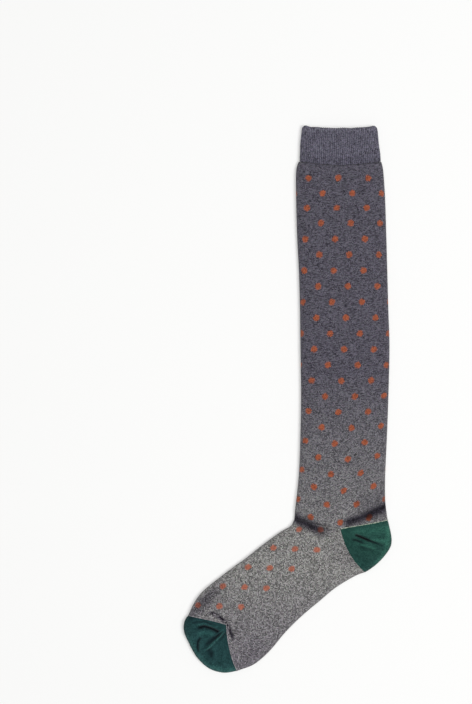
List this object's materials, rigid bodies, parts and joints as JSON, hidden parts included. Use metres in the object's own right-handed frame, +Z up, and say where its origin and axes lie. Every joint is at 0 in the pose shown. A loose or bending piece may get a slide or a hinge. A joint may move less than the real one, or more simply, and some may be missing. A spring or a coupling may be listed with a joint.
{
  "type": "knee-high sock",
  "caption": "Knee-high knitted sock lying flat on its side: ribbed open cuff, dotted leg and foot, heel pocket and closed toe pocket in a second colour.",
  "frame": {"origin": "on the surface the sock lies on, under the middle of its bounding box", "axes": "+Z up out of the surface, +Y along the leg towards the mouth, +X towards the back of the leg; the toes point to -X"},
  "size_m": [0.2186, 0.574, 0.0123],
  "materials": {
    "rib_knit": "matte ribbed cotton knit, grey melange",
    "grey_knit": "matte plain cotton knit, grey melange with rust dots",
    "green_knit": "matte plain cotton knit, dark green"
  },
  "bodies": {
    "root": {"cuff": "rib_knit", "leg": "grey_knit", "heel": "green_knit", "foot": "grey_knit", "toe": "green_knit"}
  },
  "joints": []
}
